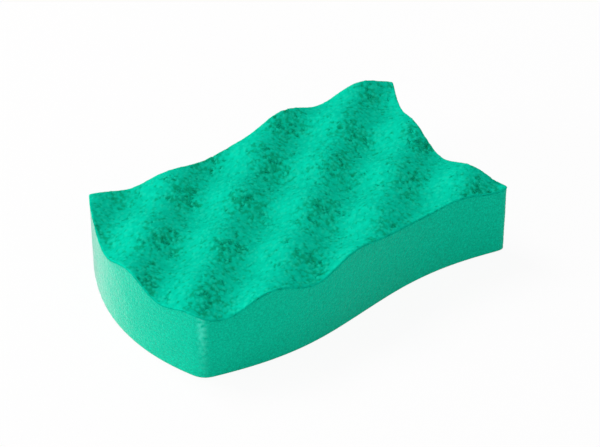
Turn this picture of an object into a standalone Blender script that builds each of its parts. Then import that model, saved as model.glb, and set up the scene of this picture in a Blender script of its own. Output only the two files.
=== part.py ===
"""Kitchen scrub sponge: a block of fine foam with an egg-crate top, and a scouring pad bonded to it.

Metres, +Z up. The origin is on the flat underside, in the middle of the overall length and width.
+X runs along the sponge towards its hollowed end, and +Y across it towards the back.
"""

import math

import bmesh
import bpy
from mathutils import Matrix, Vector

# Plan of the die that cuts the sponge
CORNER_LENGTH = 0.105        # between the corners, along X
CORNER_WIDTH = 0.0617        # between the corners, along Y
FULL_END_BOW = 0.0084        # the end at -X bows this far out at mid width
HOLLOW_END_BOW = 0.0087      # the end at +X bows this far in at mid width
SIDE_SWAY = 0.0034           # both long sides sway this far out and in again, as an S
FRONT_BELLY = 0.0006         # extra swell of the front side at mid length
THUMB_CORNER_RADIUS = 0.0068     # the blunt corner at the front of the full end
TIP_CORNER_RADIUS = 0.0026       # the corner at the front of the hollow end
BACK_CORNER_RADIUS = 0.0012      # both corners at the back

# Heights
FOAM_HEIGHT = 0.0225         # flat underside to the middle of the egg-crate relief
BOND_GAP = 0.0003            # adhesive line between the foam and the pad
PAD_THICKNESS = 0.0009       # nonwoven abrasive, measured square to its surface
PAD_OVERHANG = 0.0002        # the pad stands this far proud of the foam all round

# Egg-crate relief: two sets of waves that cross each other
FIRST_DEPTH = 0.00285        # crest to hollow of the first set of waves alone
SECOND_DEPTH = 0.0015        # crest to hollow of the second set alone
FIRST_PITCH = 0.0205         # crest to crest along the first set of waves
SECOND_PITCH = 0.0204        # crest to crest along the second set
FIRST_HEADING = math.radians(-47.1)    # the way the first set runs, from +X
SECOND_HEADING = math.radians(45.0)    # the way the second set runs, from +X
CREST_FROM_MIDDLE = Vector((-0.0019, -0.0065))   # one crest, from the middle of the four corners
THUMB_DIP = 0.00125          # how far the top is pressed down at the blunt corner
THUMB_DIP_REACH = 0.01       # from that corner to where the dip has eased to 61 percent

# Fineness of the model
CELLS_PER_PITCH = 8          # grid cells along one wave
LONG_SIDE_STEPS = 36
END_STEPS = 20
CORNER_STEPS = 6
CUT_MARGIN = 0.004           # how far the uncut slab and the die run past what they cut
NEAR_CORNER = 0.02           # share of a side over which its direction at the corner is taken
WELD_DISTANCE = 0.000001     # joins the loose caps of the die to its walls

FOAM_COLOUR = (0.02, 0.56, 0.37, 1.0)
PAD_COLOUR = (0.004, 0.46, 0.29, 1.0)


def clear_scene():
    """Remove every object that the file opened with."""
    for thing in list(bpy.data.objects):
        bpy.data.objects.remove(thing, do_unlink=True)


def new_collection(name):
    """Add a collection to the scene."""
    collection = bpy.data.collections.new(name)
    bpy.context.scene.collection.children.link(collection)
    return collection


def soft_material(name, colour, roughness):
    """Return a matt Principled material of one colour."""
    material = bpy.data.materials.new(name)
    material.use_nodes = True
    shader = material.node_tree.nodes["Principled BSDF"]
    shader.inputs["Base Color"].default_value = colour
    shader.inputs["Roughness"].default_value = roughness
    shader.inputs["Metallic"].default_value = 0.0
    return material


def plan_point(along, across):
    """Return the place at two shares, 0 to 1, of the way along and across the die's plan."""
    sway = -SIDE_SWAY * math.sin(2 * math.pi * along)
    belly = -FRONT_BELLY * math.sin(math.pi * along) * (1 - across)
    end_bow = FULL_END_BOW * (1 - along) + HOLLOW_END_BOW * along
    bow = -end_bow * 4 * across * (1 - across)
    x = CORNER_LENGTH * (along - 0.5) + bow
    y = CORNER_WIDTH * (across - 0.5) + sway + belly
    return Vector((x, y))


def side_point(start, end, share):
    """Return the point at a share, 0 to 1, of the side of the plan between two of its corners."""
    along = start[0] + (end[0] - start[0]) * share
    across = start[1] + (end[1] - start[1]) * share
    return plan_point(along, across)


def side_points(start, end, start_trim, end_trim, steps):
    """Return points along one side of the plan, leaving out a trimmed length at each end."""
    length = (plan_point(*end) - plan_point(*start)).length
    first = start_trim / length
    last = 1 - end_trim / length
    return [side_point(start, end, first + (last - first) * step / steps) for step in range(steps + 1)]


def corner_trim(corner, before, after, radius):
    """Return the length that rounding a corner takes off each of its two sides."""
    place = plan_point(*corner)
    way_in = place - side_point(corner, before, NEAR_CORNER)
    way_out = side_point(corner, after, NEAR_CORNER) - place
    return radius * math.tan(way_in.angle(way_out) / 2)


def corner_points(incoming, outgoing):
    """Return the points of a parabola that rounds a corner, from one side's end to the next's start."""
    start = incoming[-1]
    end = outgoing[0]
    start_way = (start - incoming[-2]).normalized()
    end_way = (outgoing[1] - end).normalized()
    chord = end - start
    reach = chord.cross(end_way) / start_way.cross(end_way)
    apex = start + start_way * reach
    points = []
    for step in range(1, CORNER_STEPS):
        share = step / CORNER_STEPS
        points.append(start * (1 - share) ** 2 + apex * 2 * share * (1 - share) + end * share ** 2)
    return points


def die_outline():
    """Return the closed outline of the die, counter-clockwise from the front left corner."""
    corners = [(0, 0), (1, 0), (1, 1), (0, 1)]
    radii = [THUMB_CORNER_RADIUS, TIP_CORNER_RADIUS, BACK_CORNER_RADIUS, BACK_CORNER_RADIUS]
    steps = [LONG_SIDE_STEPS, END_STEPS, LONG_SIDE_STEPS, END_STEPS]
    trims = []
    for index, corner in enumerate(corners):
        following = corners[(index + 1) % 4]
        trims.append(corner_trim(corner, corners[index - 1], following, radii[index]))
    sides = []
    for index, corner in enumerate(corners):
        following = (index + 1) % 4
        sides.append(side_points(corner, corners[following], trims[index], trims[following], steps[index]))
    outline = []
    for index in range(4):
        outline += corner_points(sides[index - 1], sides[index])
        outline += sides[index]
    return outline


def middle_of(points):
    """Return the middle of the box round some plan points."""
    xs = [point.x for point in points]
    ys = [point.y for point in points]
    return Vector(((min(xs) + max(xs)) / 2, (min(ys) + max(ys)) / 2))


def grown(points, distance):
    """Return a closed outline moved outwards by a distance."""
    moved = []
    for index, point in enumerate(points):
        way = (points[(index + 1) % len(points)] - points[index - 1]).normalized()
        moved.append(point + Vector((way.y, -way.x)) * distance)
    return moved


def relief(first, second):
    """Return the height of the egg-crate relief at distances from a crest along the two headings."""
    first_wave = math.cos(2 * math.pi * first / FIRST_PITCH)
    second_wave = math.cos(2 * math.pi * second / SECOND_PITCH)
    return FIRST_DEPTH / 2 * first_wave + SECOND_DEPTH / 2 * second_wave


def thumb_dip(place, thumb):
    """Return how far the top is pressed down at a place, most at the blunt corner."""
    share = (place - thumb).length / THUMB_DIP_REACH
    return THUMB_DIP * math.exp(-share ** 2 / 2)


def relief_sheet(name, height, outline, crest, thumb, collection):
    """Add an open sheet at a height that follows the relief, with its grid along the two sets of waves."""
    reach = max((point - crest).length for point in outline) + CUT_MARGIN
    first_cell = FIRST_PITCH / CELLS_PER_PITCH
    second_cell = SECOND_PITCH / CELLS_PER_PITCH
    first_half = math.ceil(reach / first_cell)
    second_half = math.ceil(reach / second_cell)
    headings = Matrix((
        (math.cos(FIRST_HEADING), math.sin(FIRST_HEADING)),
        (math.cos(SECOND_HEADING), math.sin(SECOND_HEADING)),
    ))
    to_plan = headings.inverted()
    sheet = bmesh.new()
    bmesh.ops.create_grid(sheet, x_segments=2 * first_half, y_segments=2 * second_half, size=1.0)
    for vert in sheet.verts:
        first = vert.co.x * first_half * first_cell
        second = vert.co.y * second_half * second_cell
        place = to_plan @ Vector((first, second)) + crest
        vert.co = (place.x, place.y, height + relief(first, second) - thumb_dip(place, thumb))
    bmesh.ops.recalc_face_normals(sheet, faces=sheet.faces)
    if sheet.faces[0].normal.z < 0:
        bmesh.ops.reverse_faces(sheet, faces=sheet.faces)
    mesh = bpy.data.meshes.new(name)
    sheet.to_mesh(mesh)
    sheet.free()
    mesh.shade_smooth()
    thing = bpy.data.objects.new(name, mesh)
    collection.objects.link(thing)
    return thing


def close_below(thing, depth):
    """Turn an open sheet into a slab, with walls down to a flat base at a depth below zero."""
    slab = bmesh.new()
    slab.from_mesh(thing.data)
    bmesh.ops.reverse_faces(slab, faces=slab.faces)
    raised = bmesh.ops.extrude_face_region(slab, geom=slab.faces)
    top = {item for item in raised["geom"] if isinstance(item, bmesh.types.BMVert)}
    for vert in slab.verts:
        if vert not in top:
            vert.co.z = -depth
    bmesh.ops.recalc_face_normals(slab, faces=slab.faces)
    slab.to_mesh(thing.data)
    slab.free()


def die(name, points, top, collection):
    """Add the die as a closed prism from the underside up, for cutting with."""
    curve = bpy.data.curves.new(name, 'CURVE')
    curve.dimensions = '2D'
    curve.fill_mode = 'BOTH'
    curve.extrude = top / 2
    spline = curve.splines.new('POLY')
    spline.points.add(len(points) - 1)
    for spot, point in zip(spline.points, points):
        spot.co = (point.x, point.y, 0.0, 1.0)
    spline.use_cyclic_u = True
    drawn = bpy.data.objects.new(name + "_line", curve)
    drawn.location.z = top / 2
    collection.objects.link(drawn)
    bpy.context.view_layer.update()
    depsgraph = bpy.context.evaluated_depsgraph_get()
    mesh = bpy.data.meshes.new_from_object(drawn.evaluated_get(depsgraph))
    prism = bmesh.new()
    prism.from_mesh(mesh)
    bmesh.ops.remove_doubles(prism, verts=prism.verts, dist=WELD_DISTANCE)
    bmesh.ops.recalc_face_normals(prism, faces=prism.faces)
    prism.to_mesh(mesh)
    prism.free()
    cutter = bpy.data.objects.new(name, mesh)
    cutter.matrix_world = drawn.matrix_world
    cutter.hide_render = True
    cutter.display_type = 'WIRE'
    collection.objects.link(cutter)
    bpy.data.objects.remove(drawn, do_unlink=True)
    return cutter


def cut_to(thing, cutter):
    """Keep only what lies inside the die."""
    cut = thing.modifiers.new("die_cut", 'BOOLEAN')
    cut.operation = 'INTERSECT'
    cut.object = cutter


def foam_body(outline, crest, thumb, height, parts, cutters):
    """Make the foam block: egg-crate on top, flat below, with upright walls."""
    body = relief_sheet("foam_body", FOAM_HEIGHT, outline, crest, thumb, parts)
    close_below(body, CUT_MARGIN)
    cut_to(body, die("foam_die", outline, height, cutters))
    body.data.materials.append(soft_material("green_foam", FOAM_COLOUR, 0.9))


def scouring_pad(outline, crest, thumb, height, parts, cutters):
    """Make the pad: an even sheet of abrasive laid over the relief."""
    pad = relief_sheet("scouring_pad", FOAM_HEIGHT + BOND_GAP, outline, crest, thumb, parts)
    thickness = pad.modifiers.new("thickness", 'SOLIDIFY')
    thickness.thickness = PAD_THICKNESS
    thickness.offset = 1.0
    thickness.use_even_offset = True
    cut_to(pad, die("pad_die", grown(outline, PAD_OVERHANG), height, cutters))
    pad.data.materials.append(soft_material("green_abrasive", PAD_COLOUR, 0.85))


def main():
    """Build the sponge."""
    clear_scene()
    parts = new_collection("kitchen_scrub_sponge")
    cutters = new_collection("cutters")
    drawn = die_outline()
    middle = middle_of(drawn)
    outline = [point - middle for point in drawn]
    crest = CREST_FROM_MIDDLE - middle
    thumb = plan_point(0, 0) - middle
    height = FOAM_HEIGHT + BOND_GAP + PAD_THICKNESS + (FIRST_DEPTH + SECOND_DEPTH) / 2 + CUT_MARGIN
    foam_body(outline, crest, thumb, height, parts, cutters)
    scouring_pad(outline, crest, thumb, height, parts, cutters)


main()
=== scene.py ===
"""Looks of the kitchen scrub sponge: fine foam below, a nonwoven scouring pad over its egg-crate top.

Metres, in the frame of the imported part: +Z up, the flat underside at zero, +X towards the hollowed end.
"""

import math

import bpy
import numpy as np
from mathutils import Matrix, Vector, noise


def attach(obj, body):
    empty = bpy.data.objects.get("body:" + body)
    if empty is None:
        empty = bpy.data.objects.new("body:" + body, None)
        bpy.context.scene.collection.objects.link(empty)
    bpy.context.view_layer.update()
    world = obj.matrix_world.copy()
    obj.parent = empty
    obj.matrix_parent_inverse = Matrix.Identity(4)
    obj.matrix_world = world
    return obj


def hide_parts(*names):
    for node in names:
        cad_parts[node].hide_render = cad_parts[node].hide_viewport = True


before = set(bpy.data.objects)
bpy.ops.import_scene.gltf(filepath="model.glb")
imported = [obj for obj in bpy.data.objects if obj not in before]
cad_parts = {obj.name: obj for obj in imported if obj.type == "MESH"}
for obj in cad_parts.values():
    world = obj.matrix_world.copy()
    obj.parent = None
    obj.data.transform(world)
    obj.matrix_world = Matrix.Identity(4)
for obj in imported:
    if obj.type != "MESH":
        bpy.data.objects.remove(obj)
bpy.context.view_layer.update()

MM = 0.001

# The die that cuts the sponge, as in the part's source
CORNER_LENGTH = 0.105
CORNER_WIDTH = 0.0617
FULL_END_BOW = 0.0084
HOLLOW_END_BOW = 0.0087
SIDE_SWAY = 0.0034
FRONT_BELLY = 0.0006
CORNER_RADII = {(0, 0): 0.0068, (1, 0): 0.0026, (1, 1): 0.0012, (0, 1): 0.0012}

# Heights and relief, as in the part's source
FOAM_HEIGHT = 0.0225
BOND_GAP = 0.0003
PAD_THICKNESS = 0.0009
FIRST_DEPTH = 0.00285
SECOND_DEPTH = 0.0015
FIRST_PITCH = 0.0205
SECOND_PITCH = 0.0204
FIRST_HEADING = math.radians(-47.1)
SECOND_HEADING = math.radians(45.0)
CREST_FROM_MIDDLE = (-0.0019, -0.0065)
THUMB_DIP = 0.00125
THUMB_DIP_REACH = 0.01

# The cut as it looks close by: crisper corners, and the pad squeezed thinner and nearly flush
CRISP_RADII = {(0, 0): 0.0068, (1, 0): 0.0021, (1, 1): 0.0008, (0, 1): 0.0005}
PAD_OVERHANG = 0.00008
PAD_SQUEEZE = 0.00045        # the foam fills the space that the squeezed edge leaves

# The foam's mesh and its unevenness. Layers of noise give their height or strength, grain and seed
FOAM_ALONG = 320
FOAM_ACROSS = 184
FOAM_RISE = 70
FOAM_UNDER_SHARE = 2         # points of the rim to one of the underside's grid
FOAM_COVER_SHARE = 4         # points of the rim to one of the hidden top's grid
FOAM_EDGE = 0.00035          # radius of the lower edge
FOAM_TOP_GAP = 0.00003       # between the walls' top and the pad's edge
UNDER_INSET = 1.4 * FOAM_EDGE
COVER_INSET = 0.4 * MM
WALL_UNEVEN = ((0.08 * MM, 9 * MM, 1), (0.022 * MM, 1.1 * MM, 3))
UNEVEN_FROM = 1.2 * MM       # height at which the walls are fully uneven
UNDER_LIFT = 0.01 * MM
UNDER_UNEVEN = ((0.06 * MM, 1.6 * MM, 6),)
PORE_DEPTH = 0.07 * MM
PORE_SPACING = 1.05 * MM
PORE_SHARE = 0.12            # of the pores that are open
PORE_PATCHES = ((0.10, 6 * MM, 4),)
PORE_SEED = 5
BURR_HEIGHT = 0.00007        # the die leaves a slight burr down the blunt corner
BURR_REACH = 0.0008
BLUNT_CORNER_WAY = (-0.85, -1.15)
# A painted highlight in paler green down the burr of the blunt corner, in patches, stronger higher up
EDGE_HIGHLIGHT_SHARE = 0.58
EDGE_HIGHLIGHT_PATCHES = ((1.3, 1.1 * MM, 7),)
EDGE_HIGHLIGHT_RISE = 1.4              # the painted highlight on the burr is stronger higher up
EDGE_HIGHLIGHT_LEAST = 0.2

# The pad's mesh
PAD_ALONG = 384
PAD_ACROSS = 220
PAD_UNDER_SHARE = 4          # points of the rim to one of the hidden underside's grid
PAD_UNDER_INSET = 1.0 * MM
PAD_EDGE = 0.0003            # radius of the upper edge
PAD_EDGE_ROWS = 3
PAD_SIDE_ROWS = 2
PAD_FUZZ = ((0.11 * MM, 0.9 * MM, 18), (0.16 * MM, 2.4 * MM, 19))
PAD_RAGGED = ((0.3 * MM, 1.3 * MM, 20),)

# The pad's web. It is pulled open most on one flank of each wave, the flank turned from the light, and has voids
# and knots there; its colour carries painted shade on that flank and in the voids, and a painted highlight on
# the knots
PULL_FIRST_PHASE = 0.22
PULL_SECOND_PHASE = 0.80
PULL_FIRST_SWING = 0.45
PULL_SECOND_SWING = 0.30
PULL_PATCHES = ((0.45, 6 * MM, 11), (0.50, 2.4 * MM, 14))
PULL_LIMIT = 1.35
KNOT_HEIGHT = 0.0001
KNOT_SPACING = 0.0011
KNOT_SHARE = 0.15            # of the knots that are there where nothing is pulled
KNOT_SHARE_PULLED = 0.55     # and how many more where the web is pulled open
KNOT_SEED = 17
KNOT_FILL = 0.6              # share of a void that a knot fills
VOID_DEPTH = 0.0002
VOID_LAYERS = ((1.0, 0.0012, 12), (0.3, 0.0006, 13))
VOID_FROM = 0.62
VOID_BY_PULL = 0.66
VOID_FADE = 0.50
BUMPS = ((0.06 * MM, 2.6 * MM, 15),)

# The pad's fibres: thin closed tubes that bridge the voids and bend over the rim
FIBRE_PIECES = 3
FIBRES_A_PIECE = 5200
FIBRE_STEPS = 6
FIBRE_SIDES = 3
FIBRE_RADIUS = 0.00005
FIBRE_STEP = 0.00085
FIBRE_STEP_SPREAD = (0.7, 1.25)
FIBRE_BEND = 0.22            # radians a step, one standard deviation
FIBRE_SWAY = 0.25            # radians a step
FIBRE_WAVE = 0.03 * MM
FIBRE_WAVE_TURN = 1.9        # radians a step
FIBRE_START_PAST = (0.01, 0.02)
FIBRES_ON_TOP = 0.06         # share of them
FIBRE_TOP_LIFT = (-0.05, 0.01)       # millimetres above the pad's face
FIBRE_DEEP_LIFT = (-0.23, -0.09)     # millimetres
FIBRE_REACH_PAST = 1.2 * PAD_THICKNESS
FIBRE_LONGEST_FALL = PAD_THICKNESS - PAD_SQUEEZE - 0.1 * MM
FIBRE_SHADE = 0.3            # share of the web's painted shade that is painted on the fibres over it

# Colours
FOAM_COLOURS = [(0.30, (0.001, 0.44, 0.27)), (0.50, (0.001, 0.545, 0.34)), (0.70, (0.002, 0.64, 0.41))]
# The pale green of the painted highlight down the burr
EDGE_HIGHLIGHT_COLOUR = (0.065, 0.76, 0.55, 1)
SHEEN_TINT = (1.0, 0.92, 0.95, 1.0)
PAD_COLOURS = [(0.30, (0.001, 0.45, 0.288)), (0.50, (0.001, 0.495, 0.315)), (0.72, (0.002, 0.555, 0.36))]
# The dark green painted as shade into the web's specks and voids
PAINTED_SHADE_COLOUR = (0.002, 0.20, 0.065, 1)
# The lighter green of a painted highlight on the knots of fibre
KNOT_HIGHLIGHT_COLOUR = (0.008, 0.54, 0.345, 1)
FLOOR_COLOUR = (0.76, 0.78, 0.78, 1)
WHITE = (1, 1, 1, 1)
SHEEN_ROUGHNESS = 0.285      # narrow, so that only grazing views turn pale
SPECK_BY_PULL = 0.25         # how much more painted shade speckles the web where it is pulled open
SPECK_FROM = 0.56
SPECK_FULL = 0.86
# How much painted shade the specks and the voids get
SPECK_PAINTED_SHADE = 0.54
VOID_PAINTED_SHADE = 0.28
# How strong the painted highlight on the knots is
KNOT_PAINTED_HIGHLIGHT = 0.8

# Grains of the materials in cells a metre, and their bumps, each by its strength and depth
FOAM_GRAIN = 2000
FOAM_PORES = 2300
PAD_GRAIN = 600
PAD_SPECKS = 800
FOAM_PORE_BUMP = (0.5, 0.00015)
FOAM_GRAIN_BUMP = (0.4, 0.00015)
PAD_GRAIN_BUMP = (0.2, 0.0002)

# Lamps: name, azimuth from +X and elevation in degrees, size, brightness on a white face, colour
LAMP_DISTANCE = 1.2
LAMPS = (("key", 116, 52, 0.5, 0.66, (1.10, 0.98, 1.0)),
         ("fill", 160, 14, 0.6, 0.55, (1.12, 0.98, 1.0)),
         ("front", 262, 30, 0.8, 0.23, (1, 1, 1)))
ROOM_LIGHT = 0.38
FLOOR_GLOW = 0.93            # share of white that the eye sees on the floor, the rest being lit floor

# Camera, worked out from the outline in the photograph
CAMERA_AZIMUTH = math.radians(32.78)
CAMERA_ELEVATION = math.radians(39.24)
CAMERA_DISTANCE = 0.7629
CAMERA_LENS_MM = 158.26
AIM_HEIGHT = 0.0126
AIM_RIGHT = -0.00063
AIM_DOWN = 0.00086


def plan_point(along, across):
    """Return x and y at shares of the way along and across the die's plan, from the middle of its corners."""
    sway = -SIDE_SWAY * np.sin(2 * np.pi * along)
    belly = -FRONT_BELLY * np.sin(np.pi * along) * (1 - across)
    end_bow = FULL_END_BOW * (1 - along) + HOLLOW_END_BOW * along
    bow = -end_bow * 4 * across * (1 - across)
    return CORNER_LENGTH * (along - 0.5) + bow, CORNER_WIDTH * (across - 0.5) + sway + belly


def corner_ways(corner):
    """Return the unit directions of the two sides that leave a corner of the plan."""
    near = 0.02
    start = np.array(plan_point(*corner))
    ways = []
    for along_step, across_step in ((near, 0.0), (0.0, near)):
        along = corner[0] + along_step * (1 - 2 * corner[0])
        across = corner[1] + across_step * (1 - 2 * corner[1])
        way = np.array(plan_point(along, across)) - start
        ways.append(way / np.linalg.norm(way))
    return ways


def rounded_plan(along, across, radii):
    """Return x and y on the plan with its four corners rounded by their radii."""
    x, y = plan_point(along, across)
    for corner, radius in radii.items():
        long_way, cross_way = corner_ways(corner)
        turn = math.pi - math.acos(float(np.dot(long_way, cross_way)))
        trim = radius * math.tan(turn / 2)
        from_along = np.abs(along - corner[0]) * CORNER_LENGTH
        from_across = np.abs(across - corner[1]) * CORNER_WIDTH
        apart = np.abs(from_along - from_across)
        depth = np.minimum(from_along, from_across)
        pull = np.maximum(trim - apart, 0) ** 2 / (4 * trim) * np.maximum(1 - depth / (2 * trim), 0)
        x = x + pull * (long_way[0] + cross_way[0])
        y = y + pull * (long_way[1] + cross_way[1])
    return x, y


def plan_middle():
    """Return the middle of the box round the die's outline, as in the part's source."""
    steps = np.linspace(0, 1, 801)
    ones = np.ones_like(steps)
    edges = ((steps, ones * 0), (steps, ones), (ones * 0, steps), (ones, steps))
    sides = [rounded_plan(along, across, CORNER_RADII) for along, across in edges]
    xs = np.concatenate([side[0] for side in sides])
    ys = np.concatenate([side[1] for side in sides])
    return (xs.min() + xs.max()) / 2, (ys.min() + ys.max()) / 2


MIDDLE_X, MIDDLE_Y = plan_middle()


def wave_shares(x, y):
    """Return how many pitches places in the part's frame lie from a crest, along each set of waves."""
    from_x = x + MIDDLE_X - CREST_FROM_MIDDLE[0]
    from_y = y + MIDDLE_Y - CREST_FROM_MIDDLE[1]
    first = (from_x * math.cos(FIRST_HEADING) + from_y * math.sin(FIRST_HEADING)) / FIRST_PITCH
    second = (from_x * math.cos(SECOND_HEADING) + from_y * math.sin(SECOND_HEADING)) / SECOND_PITCH
    return first, second


def relief(x, y):
    """Return the height of the egg-crate relief and its two slopes, at places in the part's frame."""
    thumb_x, thumb_y = plan_point(0, 0)
    from_x = x + MIDDLE_X - thumb_x
    from_y = y + MIDDLE_Y - thumb_y
    dip = THUMB_DIP * np.exp(-(from_x ** 2 + from_y ** 2) / (2 * THUMB_DIP_REACH ** 2))
    height = -dip
    slope_x = dip * from_x / THUMB_DIP_REACH ** 2
    slope_y = dip * from_y / THUMB_DIP_REACH ** 2
    sets = ((FIRST_HEADING, FIRST_PITCH, FIRST_DEPTH), (SECOND_HEADING, SECOND_PITCH, SECOND_DEPTH))
    for share, (heading, pitch, depth) in zip(wave_shares(x, y), sets):
        height = height + depth / 2 * np.cos(2 * np.pi * share)
        steep = -depth / 2 * 2 * np.pi / pitch * np.sin(2 * np.pi * share)
        slope_x = slope_x + steep * math.cos(heading)
        slope_y = slope_y + steep * math.sin(heading)
    return height, slope_x, slope_y


def place(along, across, grow=0.0):
    """Return x and y in the part's frame at shares of the plan, which is grown by a length all round."""
    wide_along = along * (1 + 2 * grow / CORNER_LENGTH) - grow / CORNER_LENGTH
    wide_across = across * (1 + 2 * grow / CORNER_WIDTH) - grow / CORNER_WIDTH
    x, y = rounded_plan(wide_along, wide_across, CRISP_RADII)
    return x - MIDDLE_X, y - MIDDLE_Y


def shares_of(x, y):
    """Return the shares of the pad's plan at places in the part's frame, which may lie past its rim."""
    along = (x + MIDDLE_X) / CORNER_LENGTH + 0.5
    across = (y + MIDDLE_Y) / CORNER_WIDTH + 0.5
    for _ in range(8):
        here_x, here_y = plan_point(along, across)
        along = along + (x + MIDDLE_X - here_x) / CORNER_LENGTH
        across = across + (y + MIDDLE_Y - here_y) / CORNER_WIDTH
    along_grow = PAD_OVERHANG / CORNER_LENGTH
    across_grow = PAD_OVERHANG / CORNER_WIDTH
    return (along + along_grow) / (1 + 2 * along_grow), (across + across_grow) / (1 + 2 * across_grow)


def loop_shares(along_steps, across_steps):
    """Return the shares of the plan along its rim, counter-clockwise from the front left corner."""
    along = np.linspace(0, 1, along_steps + 1)
    across = np.linspace(0, 1, across_steps + 1)
    rim_along = np.concatenate([along[:-1], np.ones(across_steps), along[:0:-1], np.zeros(across_steps)])
    rim_across = np.concatenate([np.zeros(along_steps), across[:-1], np.ones(along_steps), across[:0:-1]])
    return rim_along, rim_across


def grid_shares(along_steps, across_steps):
    """Return the shares of the plan on a whole grid, one row after another."""
    across, along = np.meshgrid(np.linspace(0, 1, across_steps + 1), np.linspace(0, 1, along_steps + 1),
                                indexing="ij")
    return along.ravel(), across.ravel()


def grid_faces(first, along_steps, across_steps, flip):
    """Return the quads of a grid whose points start at an index."""
    row = along_steps + 1
    faces = []
    for j in range(across_steps):
        for i in range(along_steps):
            start = first + j * row + i
            quad = (start, start + 1, start + 1 + row, start + row)
            faces.append(quad[::-1] if flip else quad)
    return faces


def grid_rim(first, along_steps, across_steps):
    """Return the indices of a grid's rim, counter-clockwise from its first point."""
    row = along_steps + 1
    front = [first + i for i in range(along_steps)]
    right = [first + along_steps + j * row for j in range(across_steps)]
    back = [first + across_steps * row + i for i in range(along_steps, 0, -1)]
    left = [first + j * row for j in range(across_steps, 0, -1)]
    return front + right + back + left


def band_faces(lower, upper):
    """Return the quads between two rims of the same number of points, facing outwards."""
    count = len(lower)
    return [(lower[i], lower[(i + 1) % count], upper[(i + 1) % count], upper[i]) for i in range(count)]


def seam_faces(fine, coarse, share, flip):
    """Return the faces between a fine rim and a coarse one that has one point to every few of its points."""
    faces = []
    count = len(fine)
    for k in range(len(coarse)):
        near = [fine[(k * share + i) % count] for i in range(share + 1)]
        face = near + [coarse[(k + 1) % len(coarse)], coarse[k]]
        faces.append(face[::-1] if flip else face)
    return faces


def outward(points):
    """Return the outward unit normals in plan of a closed counter-clockwise rim."""
    way = np.roll(points, -1, axis=0) - np.roll(points, 1, axis=0)
    way /= np.linalg.norm(way, axis=1)[:, None]
    return np.column_stack([way[:, 1], -way[:, 0]])


def mesh_piece(name, points, faces):
    """Add a smooth mesh piece to the scene."""
    mesh = bpy.data.meshes.new(name)
    mesh.from_pydata(points.tolist(), [], faces)
    mesh.validate()
    mesh.shade_smooth()
    thing = bpy.data.objects.new(name, mesh)
    bpy.context.scene.collection.objects.link(thing)
    return thing


def mark(thing, name, values):
    """Store a value for each point of a mesh piece, for its material to read."""
    layer = thing.data.attributes.new(name, 'FLOAT', 'POINT')
    layer.data.foreach_set("value", values.astype(np.float32))


def layered_noise(points, layers):
    """Return at each point the sum of smooth noises, each given by its strength, grain and seed."""
    total = np.zeros(len(points))
    for strength, grain, seed in layers:
        offset = Vector((seed * 7.3, seed * 3.1, seed * 5.7))
        scale = 1 / grain
        total += strength * np.array([noise.noise(Vector(p) * scale + offset) for p in points.tolist()])
    return total


def pit_field(points, spacing, share, seed):
    """Return how deep, 0 to 1, each point lies in scattered round pits, of which only a share are open."""
    offset = Vector((seed * 2.9, seed * 6.1, seed * 1.7))
    scale = 1 / spacing
    pit_radius = 0.52
    depths = np.zeros(len(points))
    for index, p in enumerate(points.tolist()):
        distances, centres = noise.voronoi(Vector(p) * scale + offset)
        luck = noise.cell(centres[0] * 31.7)
        if luck < share[index]:
            depths[index] = max(0.0, 1 - (distances[0] / pit_radius) ** 2)
    return depths


def foam_walls(rim, top):
    """Return the foam's wall points, row after row from the floor up, their rows of indices, and its burr."""
    normal = outward(rim)
    points = []
    rows = []
    for k in range(FOAM_RISE + 1):
        z = top * k / FOAM_RISE
        height_in_edge = np.clip(1 - z / FOAM_EDGE, 0, 1)
        inset = FOAM_EDGE * (1 - np.sqrt(1 - height_in_edge ** 2))
        rows.append(list(range(k * len(rim), (k + 1) * len(rim))))
        points.append(np.column_stack([rim - normal * inset[:, None], z]))
    wall = np.concatenate(points)
    open_share = PORE_SHARE + layered_noise(wall, PORE_PATCHES)
    pores = PORE_DEPTH * pit_field(wall, PORE_SPACING, open_share, PORE_SEED)
    blunt = np.argmax(BLUNT_CORNER_WAY[0] * rim[:, 0] + BLUNT_CORNER_WAY[1] * rim[:, 1])
    from_burr = np.linalg.norm(wall[:, :2] - rim[blunt], axis=1)
    burr = BURR_HEIGHT * np.exp(-(from_burr / BURR_REACH) ** 2 / 2)
    push = layered_noise(wall, WALL_UNEVEN) - pores + burr
    fade = np.minimum(wall[:, 2] / UNEVEN_FROM, 1)
    wall[:, :2] += np.tile(normal, (FOAM_RISE + 1, 1)) * (push * fade)[:, None]
    return wall, rows, burr


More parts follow.
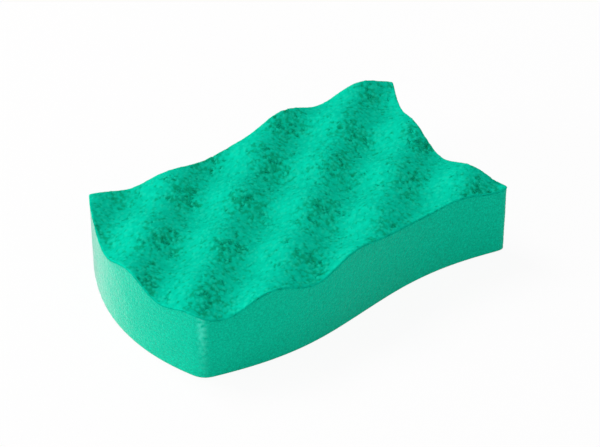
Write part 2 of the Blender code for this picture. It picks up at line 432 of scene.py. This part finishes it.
def foam_piece():
    """Build the foam block: fine upright walls with open pores, a soft lower edge, and a coarser hidden top."""
    rim_along, rim_across = loop_shares(FOAM_ALONG, FOAM_ACROSS)
    x, y = place(rim_along, rim_across)
    top = FOAM_HEIGHT + BOND_GAP + PAD_SQUEEZE - FOAM_TOP_GAP + relief(x, y)[0]
    wall, rows, burr = foam_walls(np.column_stack([x, y]), top)
    faces = []
    for lower, upper in zip(rows, rows[1:]):
        faces += band_faces(lower, upper)

    steps = (FOAM_ALONG // FOAM_UNDER_SHARE, FOAM_ACROSS // FOAM_UNDER_SHARE)
    ux, uy = place(*grid_shares(*steps), -UNDER_INSET)
    under = np.column_stack([ux, uy, np.zeros_like(ux)])
    under[:, 2] = UNDER_LIFT + np.maximum(layered_noise(under, UNDER_UNEVEN), 0)
    first_under = len(wall)
    faces += grid_faces(first_under, *steps, True)
    faces += seam_faces(rows[0], grid_rim(first_under, *steps), FOAM_UNDER_SHARE, True)

    steps = (FOAM_ALONG // FOAM_COVER_SHARE, FOAM_ACROSS // FOAM_COVER_SHARE)
    tx, ty = place(*grid_shares(*steps), -COVER_INSET)
    cover = np.column_stack([tx, ty, FOAM_HEIGHT + BOND_GAP - FOAM_TOP_GAP + relief(tx, ty)[0]])
    first_cover = first_under + len(under)
    faces += grid_faces(first_cover, *steps, False)
    faces += seam_faces(rows[-1], grid_rim(first_cover, *steps), FOAM_COVER_SHARE, False)

    piece = mesh_piece("foam_block", np.concatenate([wall, under, cover]), faces)
    # Painted highlight down the burr: patchy, and stronger higher up
    patchy = np.clip(EDGE_HIGHLIGHT_SHARE + layered_noise(wall, EDGE_HIGHLIGHT_PATCHES), 0, 1)
    higher = np.clip(EDGE_HIGHLIGHT_RISE * wall[:, 2] / FOAM_HEIGHT - EDGE_HIGHLIGHT_LEAST, EDGE_HIGHLIGHT_LEAST, 1)
    painted_edge_highlight = burr / BURR_HEIGHT * patchy * higher
    mark(piece, "painted_edge_highlight", np.concatenate([painted_edge_highlight, np.zeros(len(under) + len(cover))]))
    return piece


def pad_top(x, y):
    """Return the height of the pad's upper face, whose thickness is even square to the relief."""
    height, slope_x, slope_y = relief(x, y)
    return FOAM_HEIGHT + BOND_GAP + height + PAD_THICKNESS * np.sqrt(1 + slope_x ** 2 + slope_y ** 2)


def pulled_open(x, y):
    """Return how far, 0 to 1, the web is pulled open: most on one flank of each wave of the relief, the flank
    turned from the light, where its material also paints shade.
    """
    first, second = wave_shares(x, y)
    on_first = 1 - PULL_FIRST_SWING + PULL_FIRST_SWING * np.cos(2 * np.pi * (first - PULL_FIRST_PHASE))
    on_second = 1 - PULL_SECOND_SWING + PULL_SECOND_SWING * np.cos(2 * np.pi * (second - PULL_SECOND_PHASE))
    return on_first * on_second


def pad_web(x, y):
    """Return the web's state at each place: how pulled open, where its material also paints shade, its voids and
    knots of fibre, 0 to 1, and its bumps.
    """
    flat = np.column_stack([x, y, np.zeros_like(x)])
    pull = np.clip(pulled_open(x, y) + layered_noise(flat, PULL_PATCHES), 0, PULL_LIMIT)
    pulled_and_shaded = np.minimum(pull, 1)
    knots = pit_field(flat, KNOT_SPACING, KNOT_SHARE + KNOT_SHARE_PULLED * pulled_and_shaded, KNOT_SEED)
    voids = layered_noise(flat, VOID_LAYERS)
    share = np.clip((voids - VOID_FROM + VOID_BY_PULL * pull) / VOID_FADE, 0, 1)
    void = share * share * (3 - 2 * share) * (1 - KNOT_FILL * knots)
    bumps = layered_noise(flat, BUMPS) + KNOT_HEIGHT * knots
    return {"pulled_and_shaded": pulled_and_shaded, "void": void, "knot": knots, "bumps": bumps}


def pad_rim_row(k, start, outer, foot):
    """Return a row of points round the pad's rim and how far out it lies: over the edge, down, then back in."""
    if k <= PAD_EDGE_ROWS:
        angle = math.pi / 2 * k / PAD_EDGE_ROWS
        out = math.sin(angle)
        z = start[:, 2] - PAD_EDGE * (1 - math.cos(angle))
    elif k <= PAD_EDGE_ROWS + PAD_SIDE_ROWS:
        out = 1.0
        fall = (k - PAD_EDGE_ROWS) / PAD_SIDE_ROWS
        z = (start[:, 2] - PAD_EDGE) * (1 - fall) + foot * fall
    else:
        out = 0.0
        z = foot
    return np.column_stack([start[:, :2] * (1 - out) + outer * out, z]), out


def pad_piece():
    """Build the scouring pad: a fine upper face with open voids, a soft rim, and a coarser hidden underside."""
    x, y = place(*grid_shares(PAD_ALONG, PAD_ACROSS), PAD_OVERHANG - PAD_EDGE)
    web = pad_web(x, y)
    face = np.column_stack([x, y, pad_top(x, y) + web["bumps"] - VOID_DEPTH * web["void"]])
    faces = grid_faces(0, PAD_ALONG, PAD_ACROSS, False)

    last = grid_rim(0, PAD_ALONG, PAD_ACROSS)
    ox, oy = place(*loop_shares(PAD_ALONG, PAD_ACROSS), PAD_OVERHANG)
    outer = np.column_stack([ox, oy])
    normal = outward(outer)
    start = face[last]
    points = [face]
    total = len(face)
    ragged = np.maximum(layered_noise(np.column_stack([ox, oy, np.zeros_like(ox)]), PAD_RAGGED), 0)
    foot = FOAM_HEIGHT + BOND_GAP + PAD_SQUEEZE + relief(ox, oy)[0] - ragged
    for k in range(1, PAD_EDGE_ROWS + PAD_SIDE_ROWS + 2):
        row, out = pad_rim_row(k, start, outer, foot)
        row[:, :2] += normal * (layered_noise(row, PAD_FUZZ) * out)[:, None]
        points.append(row)
        here = list(range(total, total + len(row)))
        faces += band_faces(here, last)
        last = here
        total += len(row)

    steps = (PAD_ALONG // PAD_UNDER_SHARE, PAD_ACROSS // PAD_UNDER_SHARE)
    ux, uy = place(*grid_shares(*steps), -PAD_UNDER_INSET)
    points.append(np.column_stack([ux, uy, FOAM_HEIGHT + BOND_GAP + relief(ux, uy)[0]]))
    faces += grid_faces(total, *steps, True)
    faces += seam_faces(last, grid_rim(total, *steps), PAD_UNDER_SHARE, True)
    points = np.concatenate(points)
    piece = mesh_piece("abrasive_pad", points, faces)
    rest = np.zeros(len(points) - len(face))
    # The material paints shade from the voids and the pulled flanks, and a highlight on the knots
    for name in ("void", "pulled_and_shaded", "knot"):
        mark(piece, name, np.concatenate([web[name], rest]))
    return piece, web


def from_grid(values, along, across):
    """Return values held on the pad's grid, read between its points."""
    grid = values.reshape(PAD_ACROSS + 1, PAD_ALONG + 1)
    i = np.clip(along, 0, 1) * PAD_ALONG
    j = np.clip(across, 0, 1) * PAD_ACROSS
    i0 = np.minimum(i.astype(int), PAD_ALONG - 1)
    j0 = np.minimum(j.astype(int), PAD_ACROSS - 1)
    u = i - i0
    v = j - j0
    near = grid[j0, i0] * (1 - u) + grid[j0, i0 + 1] * u
    far = grid[j0 + 1, i0] * (1 - u) + grid[j0 + 1, i0 + 1] * u
    return near * (1 - v) + far * v


def fibre_paths(count, web, seed):
    """Return the paths of web fibres that bridge the voids and bend over the rim, and the web's state there."""
    random = np.random.default_rng(seed)
    past_along, past_across = FIBRE_START_PAST
    along = random.uniform(-past_along, 1 + past_along, count)
    across = random.uniform(-past_across, 1 + past_across, count)
    x, y = place(along, across)
    heading = random.uniform(0, 2 * math.pi, count)
    bend = random.normal(0, FIBRE_BEND, count)
    sway = random.uniform(0, 2 * math.pi, count)
    on_top = random.random(count) < FIBRES_ON_TOP
    top_lift = random.uniform(*FIBRE_TOP_LIFT, count)
    deep_lift = random.uniform(*FIBRE_DEEP_LIFT, count)
    lift = np.where(on_top, top_lift, deep_lift) * MM
    step = FIBRE_STEP * random.uniform(*FIBRE_STEP_SPREAD, count)
    rows = []
    voids = []
    pulls = []
    keep = np.ones(count, bool)
    for k in range(FIBRE_STEPS + 1):
        share_x, share_y = shares_of(x, y)
        in_x = np.clip(share_x, 0, 1)
        in_y = np.clip(share_y, 0, 1)
        past = np.hypot((share_x - in_x) * CORNER_LENGTH, (share_y - in_y) * CORNER_WIDTH)
        past_no_corner = (share_x == in_x) | (share_y == in_y)
        keep &= (past < FIBRE_REACH_PAST) & past_no_corner
        px, py = place(in_x, in_y, PAD_OVERHANG)
        rim = np.minimum(np.minimum(in_x, 1 - in_x) * CORNER_LENGTH, np.minimum(in_y, 1 - in_y) * CORNER_WIDTH)
        round_off = np.clip(1 - rim / PAD_EDGE, 0, 1)
        drop = PAD_EDGE * (1 - np.sqrt(1 - round_off ** 2)) * np.where(past > 0, 0, 1)
        fall = np.minimum(np.where(past > 0, PAD_EDGE * 0.5 + past, 0), FIBRE_LONGEST_FALL)
        wave = FIBRE_WAVE * np.sin(sway + k * FIBRE_WAVE_TURN)
        z = pad_top(px, py) + from_grid(web["bumps"], in_x, in_y) + lift + wave - drop - fall
        rows.append(np.column_stack([px, py, z]))
        voids.append(from_grid(web["void"], in_x, in_y))
        pulls.append(from_grid(web["pulled_and_shaded"], in_x, in_y))
        heading = heading + bend + FIBRE_SWAY * np.sin(sway + k)
        x = x + step * np.cos(heading)
        y = y + step * np.sin(heading)
    return np.stack(rows, axis=1)[keep], np.stack(voids, axis=1)[keep], np.stack(pulls, axis=1)[keep]


def fibre_piece(name, web, seed):
    """Build one layer of the pad's fibre web as thin closed tubes."""
    paths, voids, pulls = fibre_paths(FIBRES_A_PIECE, web, seed)
    count, stops, _ = paths.shape
    tiny = 1e-12
    way = np.gradient(paths, axis=1)
    way /= np.linalg.norm(way, axis=2)[:, :, None] + tiny
    side = np.cross(way, np.array([0.0, 0.0, 1.0]))
    side /= np.linalg.norm(side, axis=2)[:, :, None] + tiny
    top = np.cross(side, way)
    rings = []
    for k in range(FIBRE_SIDES):
        angle = 2 * math.pi * k / FIBRE_SIDES + math.pi / 2
        rings.append(paths + FIBRE_RADIUS * (side * math.cos(angle) + top * math.sin(angle)))
    points = np.stack(rings, axis=2).reshape(-1, 3)
    first = np.arange(count)[:, None] * stops * FIBRE_SIDES
    faces = []
    for k in range(stops - 1):
        for s in range(FIBRE_SIDES):
            near = k * FIBRE_SIDES + s
            across = k * FIBRE_SIDES + (s + 1) % FIBRE_SIDES
            quad = np.array([near, across, across + FIBRE_SIDES, near + FIBRE_SIDES])
            faces.append(first + quad[None, :])
    faces = np.concatenate(faces).tolist()
    start_cap = np.arange(FIBRE_SIDES)[::-1]
    end_cap = np.arange(FIBRE_SIDES) + (stops - 1) * FIBRE_SIDES
    faces += (first + start_cap[None, :]).tolist()
    faces += (first + end_cap[None, :]).tolist()
    piece = mesh_piece(name, points, faces)
    # The fibres take a share of the web's painted shade
    mark(piece, "void", FIBRE_SHADE * np.repeat(voids.ravel(), FIBRE_SIDES))
    mark(piece, "pulled_and_shaded", FIBRE_SHADE * np.repeat(pulls.ravel(), FIBRE_SIDES))
    return piece


def new_material(name):
    """Return a material, its nodes and links, and its Principled shader."""
    material = bpy.data.materials.new(name)
    material.use_nodes = True
    nodes = material.node_tree.nodes
    return material, nodes, material.node_tree.links, nodes["Principled BSDF"]


def noise_node(nodes, links, coordinates, scale, detail, roughness):
    """Add a noise texture on object coordinates, and return its value."""
    node = nodes.new("ShaderNodeTexNoise")
    node.inputs["Scale"].default_value = scale
    node.inputs["Detail"].default_value = detail
    node.inputs["Roughness"].default_value = roughness
    links.new(coordinates.outputs["Object"], node.inputs["Vector"])
    return node.outputs["Fac"]


def ramp_node(nodes, links, source, stops):
    """Add a colour ramp on a value, from a list of place and colour, and return its colour."""
    node = nodes.new("ShaderNodeValToRGB")
    ramp = node.color_ramp
    ramp.elements[0].position = stops[0][0]
    ramp.elements[0].color = (*stops[0][1], 1)
    ramp.elements[1].position = stops[-1][0]
    ramp.elements[1].color = (*stops[-1][1], 1)
    for spot, colour in stops[1:-1]:
        element = ramp.elements.new(spot)
        element.color = (*colour, 1)
    links.new(source, node.inputs["Fac"])
    return node.outputs["Color"]


def bump_node(nodes, links, source, strength, distance, before=None):
    """Add a bump of a real depth on a value, on top of another bump if there is one, and return its normal."""
    node = nodes.new("ShaderNodeBump")
    node.inputs["Strength"].default_value = strength
    node.inputs["Distance"].default_value = distance
    links.new(source, node.inputs["Height"])
    if before:
        links.new(before, node.inputs["Normal"])
    return node.outputs["Normal"]


def attribute_node(nodes, name):
    """Add a reader of a value that a mesh piece stores for each point, and return the value."""
    node = nodes.new("ShaderNodeAttribute")
    node.attribute_name = name
    return node.outputs["Fac"]


def math_node(nodes, links, operation, *values, clamp=False):
    """Add a math node on values from other nodes and plain numbers, and return its value."""
    node = nodes.new("ShaderNodeMath")
    node.operation = operation
    node.use_clamp = clamp
    for socket, value in zip(node.inputs, values):
        if isinstance(value, (int, float)):
            socket.default_value = value
        else:
            links.new(value, socket)
    return node.outputs[0]


def mix_node(nodes, links, share, colour, other):
    """Add a mix from a colour of another node to a plain one, and return its colour."""
    node = nodes.new("ShaderNodeMix")
    node.data_type = 'RGBA'
    node.inputs["B"].default_value = other
    links.new(share, node.inputs["Factor"])
    links.new(colour, node.inputs["A"])
    return node.outputs["Result"]


def foam_material():
    """Return the green foam: matt, fine-pored, paler where it is seen at a grazing angle, with a painted
    highlight in pale green down the burr of the blunt corner.
    """
    material, nodes, links, shader = new_material("green_foam")
    shader.inputs["Roughness"].default_value = 1.0
    shader.inputs["Specular IOR Level"].default_value = 0.0
    shader.inputs["Sheen Weight"].default_value = 1.0
    shader.inputs["Sheen Roughness"].default_value = SHEEN_ROUGHNESS
    shader.inputs["Sheen Tint"].default_value = SHEEN_TINT
    coordinates = nodes.new("ShaderNodeTexCoord")
    grain = noise_node(nodes, links, coordinates, FOAM_GRAIN, 2, 0.6)
    colour = ramp_node(nodes, links, grain, FOAM_COLOURS)
    # Painted highlight down the burr of the blunt corner
    colour = mix_node(nodes, links, attribute_node(nodes, "painted_edge_highlight"), colour, EDGE_HIGHLIGHT_COLOUR)
    links.new(colour, shader.inputs["Base Color"])
    pores = nodes.new("ShaderNodeTexVoronoi")
    pores.inputs["Scale"].default_value = FOAM_PORES
    links.new(coordinates.outputs["Object"], pores.inputs["Vector"])
    cells = bump_node(nodes, links, pores.outputs["Distance"], *FOAM_PORE_BUMP)
    links.new(bump_node(nodes, links, grain, *FOAM_GRAIN_BUMP, cells), shader.inputs["Normal"])
    return material


def pad_material():
    """Return the green abrasive: matt fibre, with painted shade as dark specks where the web is pulled open and
    in the voids, and a painted highlight on the knots.
    """
    material, nodes, links, shader = new_material("green_abrasive")
    shader.inputs["Roughness"].default_value = 1.0
    shader.inputs["Specular IOR Level"].default_value = 0.0
    coordinates = nodes.new("ShaderNodeTexCoord")
    grain = noise_node(nodes, links, coordinates, PAD_GRAIN, 2, 0.5)
    # Painted shade: dark specks, more where the web is pulled open on the flanks turned from the light, and
    # darker still in the voids
    speck = noise_node(nodes, links, coordinates, PAD_SPECKS, 1, 0.5)
    gathered = math_node(nodes, links, 'MULTIPLY_ADD', attribute_node(nodes, "pulled_and_shaded"), SPECK_BY_PULL, speck)
    shaded_specks = nodes.new("ShaderNodeMapRange")
    shaded_specks.interpolation_type = 'SMOOTHSTEP'
    shaded_specks.inputs["From Min"].default_value = SPECK_FROM
    shaded_specks.inputs["From Max"].default_value = SPECK_FULL
    shaded_specks.inputs["To Max"].default_value = SPECK_PAINTED_SHADE
    links.new(gathered, shaded_specks.inputs["Value"])
    painted_shade = math_node(nodes, links, 'MULTIPLY_ADD', attribute_node(nodes, "void"), VOID_PAINTED_SHADE,
                         shaded_specks.outputs["Result"], clamp=True)
    # Painted highlight on the knots
    knot_highlight = math_node(nodes, links, 'MULTIPLY', attribute_node(nodes, "knot"), KNOT_PAINTED_HIGHLIGHT)
    colour = ramp_node(nodes, links, grain, PAD_COLOURS)
    colour = mix_node(nodes, links, painted_shade, colour, PAINTED_SHADE_COLOUR)
    colour = mix_node(nodes, links, knot_highlight, colour, KNOT_HIGHLIGHT_COLOUR)
    links.new(colour, shader.inputs["Base Color"])
    links.new(bump_node(nodes, links, grain, *PAD_GRAIN_BUMP), shader.inputs["Normal"])
    return material


def seen_rays(nodes, links):
    """Return a value that is 1 on the rays that show the background: straight, mirrored or through glass."""
    path = nodes.new("ShaderNodeLightPath")
    value = path.outputs["Is Camera Ray"]
    for kind in ("Is Glossy Ray", "Is Transmission Ray"):
        value = math_node(nodes, links, 'MAXIMUM', value, path.outputs[kind])
    return value


def floor_piece():
    """Add the pale floor, which shows near white to the camera and keeps a faint shadow."""
    bpy.ops.mesh.primitive_plane_add(size=8.0, location=(0, 0, 0))
    floor = bpy.context.object
    floor.name = "studio_floor"
    material = bpy.data.materials.new("studio_floor")
    material.use_nodes = True
    nodes = material.node_tree.nodes
    links = material.node_tree.links
    nodes.clear()
    output = nodes.new("ShaderNodeOutputMaterial")
    matt = nodes.new("ShaderNodeBsdfDiffuse")
    matt.inputs["Color"].default_value = FLOOR_COLOUR
    glow = nodes.new("ShaderNodeEmission")
    glow.inputs["Color"].default_value = WHITE
    share = math_node(nodes, links, 'MULTIPLY', seen_rays(nodes, links), FLOOR_GLOW)
    mix = nodes.new("ShaderNodeMixShader")
    links.new(share, mix.inputs["Fac"])
    links.new(matt.outputs[0], mix.inputs[1])
    links.new(glow.outputs[0], mix.inputs[2])
    links.new(mix.outputs[0], output.inputs["Surface"])
    floor.data.materials.append(material)


def area_light(name, azimuth, elevation, size, brightness, colour):
    """Add a square soft lamp that faces the sponge. Brightness is what it gives a white face turned to it."""
    lamp = bpy.data.lights.new(name, 'AREA')
    lamp.shape = 'SQUARE'
    lamp.size = size
    lamp.energy = brightness * math.pi ** 2 * LAMP_DISTANCE ** 2
    lamp.color = colour
    thing = bpy.data.objects.new(name, lamp)
    a = math.radians(azimuth)
    e = math.radians(elevation)
    way = Vector((math.cos(a) * math.cos(e), math.sin(a) * math.cos(e), math.sin(e)))
    thing.location = way * LAMP_DISTANCE
    thing.rotation_euler = way.to_track_quat('Z', 'Y').to_euler()
    bpy.context.scene.collection.objects.link(thing)


def lighting():
    """Light the sponge with a soft key and fill from the back left, a weak lamp in front, and a pale room."""
    world = bpy.data.worlds.new("studio")
    world.use_nodes = True
    nodes = world.node_tree.nodes
    links = world.node_tree.links
    room = nodes["Background"]
    room.inputs["Color"].default_value = WHITE
    strength = nodes.new("ShaderNodeMapRange")
    strength.inputs["To Min"].default_value = ROOM_LIGHT
    strength.inputs["To Max"].default_value = 1.0
    links.new(seen_rays(nodes, links), strength.inputs["Value"])
    links.new(strength.outputs["Result"], room.inputs["Strength"])
    bpy.context.scene.world = world
    for lamp in LAMPS:
        area_light(*lamp)
    bpy.context.scene.view_settings.view_transform = 'Standard'


def camera():
    """Place the camera at the photograph's viewing angle."""
    view = bpy.data.cameras.new("camera")
    view.lens = CAMERA_LENS_MM
    view.sensor_width = 36
    thing = bpy.data.objects.new("camera", view)
    right = Vector((math.cos(CAMERA_AZIMUTH), -math.sin(CAMERA_AZIMUTH), 0))
    back = Vector((-math.sin(CAMERA_AZIMUTH) * math.cos(CAMERA_ELEVATION),
                   -math.cos(CAMERA_AZIMUTH) * math.cos(CAMERA_ELEVATION),
                   math.sin(CAMERA_ELEVATION)))
    up = back.cross(right)
    aim = Vector((-MIDDLE_X, -MIDDLE_Y, AIM_HEIGHT)) + right * AIM_RIGHT - up * AIM_DOWN
    thing.location = aim + back * CAMERA_DISTANCE
    thing.rotation_euler = back.to_track_quat('Z', 'Y').to_euler()
    view.clip_start = 0.01
    view.clip_end = 20
    bpy.context.scene.collection.objects.link(thing)
    bpy.context.scene.camera = thing


camera()
lighting()
floor_piece()

foam = foam_piece()
foam.data.materials.append(foam_material())
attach(foam, "root")
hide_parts("foam_body")

pad, pad_state = pad_piece()
web_material = pad_material()
pad.data.materials.append(web_material)
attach(pad, "root")
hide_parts("scouring_pad")

for number in range(1, FIBRE_PIECES + 1):
    fibres = fibre_piece(f"pad_fibres_{number}", pad_state, number)
    fibres.data.materials.append(web_material)
    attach(fibres, "root")
